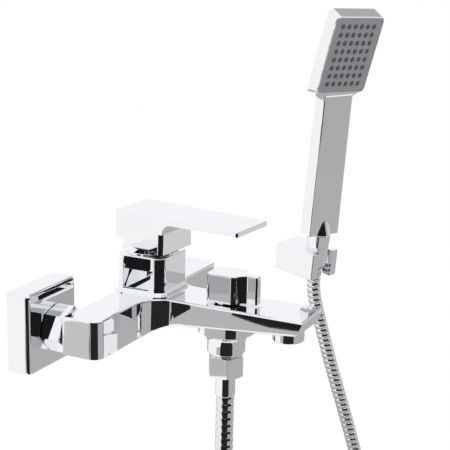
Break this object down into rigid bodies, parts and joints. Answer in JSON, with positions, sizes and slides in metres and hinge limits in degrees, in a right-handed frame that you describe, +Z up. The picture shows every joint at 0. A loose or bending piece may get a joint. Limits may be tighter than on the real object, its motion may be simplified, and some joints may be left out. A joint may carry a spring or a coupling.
{
  "type": "bath mixer",
  "caption": "Wall-mounted single-lever bath and shower mixer with flat spout, diverter, ribbed hose, square hand shower and swivelling wall bracket.",
  "frame": {"origin": "on the wall's face, midway between the two supply pipes' axes", "axes": "+X to the right along the wall, +Y into the wall, +Z up; the mixer stands out to -Y"},
  "size_m": [0.4726, 0.1858, 0.7659],
  "materials": {
    "chrome": "polished",
    "hose_steel": "polished, ribbed",
    "brass": "machined",
    "steel": "plain",
    "grey_plastic": "satin",
    "black_rubber": "matte",
    "dark_rubber": "matte",
    "white_plastic": "satin",
    "cartridge_plastic": "satin",
    "ceramic": "lapped ceramic"
  },
  "bodies": {
    "mixer": {"flange_left": "chrome", "flange_right": "chrome", "s_union_left": "brass", "s_union_right": "brass", "union_nut_left": "chrome", "union_nut_right": "chrome", "inlet_washers": "black_rubber", "inlet_strainers": "steel", "valve_body": "chrome", "cartridge_seals": "black_rubber", "cartridge_base": "cartridge_plastic", "cartridge_fixed_disc": "ceramic", "cartridge_shell": "cartridge_plastic", "cartridge_nut": "chrome", "dome_ring": "chrome", "diverter_bush": "chrome", "diverter_oring": "black_rubber", "aerator_housing": "chrome", "aerator_insert": "white_plastic", "aerator_seal": "black_rubber", "shower_outlet": "chrome", "check_valve": "white_plastic", "hose_washer_lower": "black_rubber", "hose_tail_lower": "brass", "hose_nut": "chrome", "hose_ferrule_lower": "chrome", "shower_hose": "hose_steel", "bracket_base": "chrome"},
    "lever_turning": {"cartridge_turret": "cartridge_plastic", "cartridge_pivot_pin": "steel"},
    "lever_lifting": {"lever": "chrome", "lever_spindle": "steel", "lever_grub_screw": "steel", "lever_index_plug": "chrome"},
    "disc_group": {"cartridge_moving_disc": "ceramic", "cartridge_disc_carrier": "cartridge_plastic"},
    "diverter": {"diverter_knob": "chrome", "diverter_grub_screw": "steel", "diverter_spindle": "brass", "diverter_rotor": "cartridge_plastic", "diverter_seal_rings": "black_rubber"},
    "bracket_seat": {"bracket_ball_seat": "white_plastic"},
    "bracket": {"bracket_holder": "chrome", "bracket_set_screw": "steel"},
    "hose_end": {"hose_ferrule_upper": "chrome", "hose_swivel_tail": "brass"},
    "hand_shower": {"cone_nut": "chrome", "hose_washer_upper": "black_rubber", "handset_shell": "chrome", "handset_inlet": "chrome", "flow_restrictor": "white_plastic", "spray_plate": "grey_plastic", "nozzle_mat": "dark_rubber"}
  },
  "joints": [
    {"name": "lever_turn", "type": "hinge", "parent": "mixer", "child": "lever_turning", "pos_m": [0, -0.0533, 0.024], "axis": [0, 0, 1], "range_deg": [-41, 49]},
    {"name": "lever_lift", "type": "hinge", "parent": "lever_turning", "child": "lever_lifting", "pos_m": [0, -0.0533, 0.024], "axis": [-0.9976, 0.0698, 0], "range_deg": [0, 25]},
    {"name": "disc_slide", "type": "slide", "parent": "lever_turning", "child": "disc_group", "axis": [-0.0698, -0.9976, 0], "range_m": [0, 0.00285]},
    {"name": "diverter_turn", "type": "hinge", "parent": "mixer", "child": "diverter", "pos_m": [0, -0.1142, 0.02], "axis": [0, 0, 1], "range_deg": [0, 90]},
    {"name": "bracket_swivel", "type": "hinge", "parent": "mixer", "child": "bracket_seat", "pos_m": [0.34723, -0.02104, -0.05195], "axis": [0, 0, 1], "range_deg": [-5, 40], "deforming": ["shower_hose"]},
    {"name": "bracket_tilt", "type": "hinge", "parent": "bracket_seat", "child": "bracket", "pos_m": [0.34723, -0.02104, -0.05195], "axis": [0.9511, -0.309, 0], "range_deg": [-5, 7], "deforming": ["shower_hose"]},
    {"name": "handset_lift", "type": "slide", "parent": "bracket", "child": "hose_end", "axis": [-0.0269, -0.0829, 0.9962], "range_m": [0, 0.02], "deforming": ["shower_hose"]},
    {"name": "handset_turn", "type": "hinge", "parent": "hose_end", "child": "hand_shower", "pos_m": [0.34, -0.0433, -0.054], "axis": [-0.0269, -0.0829, 0.9962], "range_deg": [-80, 80]}
  ],
  "couplings": [
    {"joint": "disc_slide", "follows": "lever_lift", "m_per_rad": 0.0065}
  ]
}
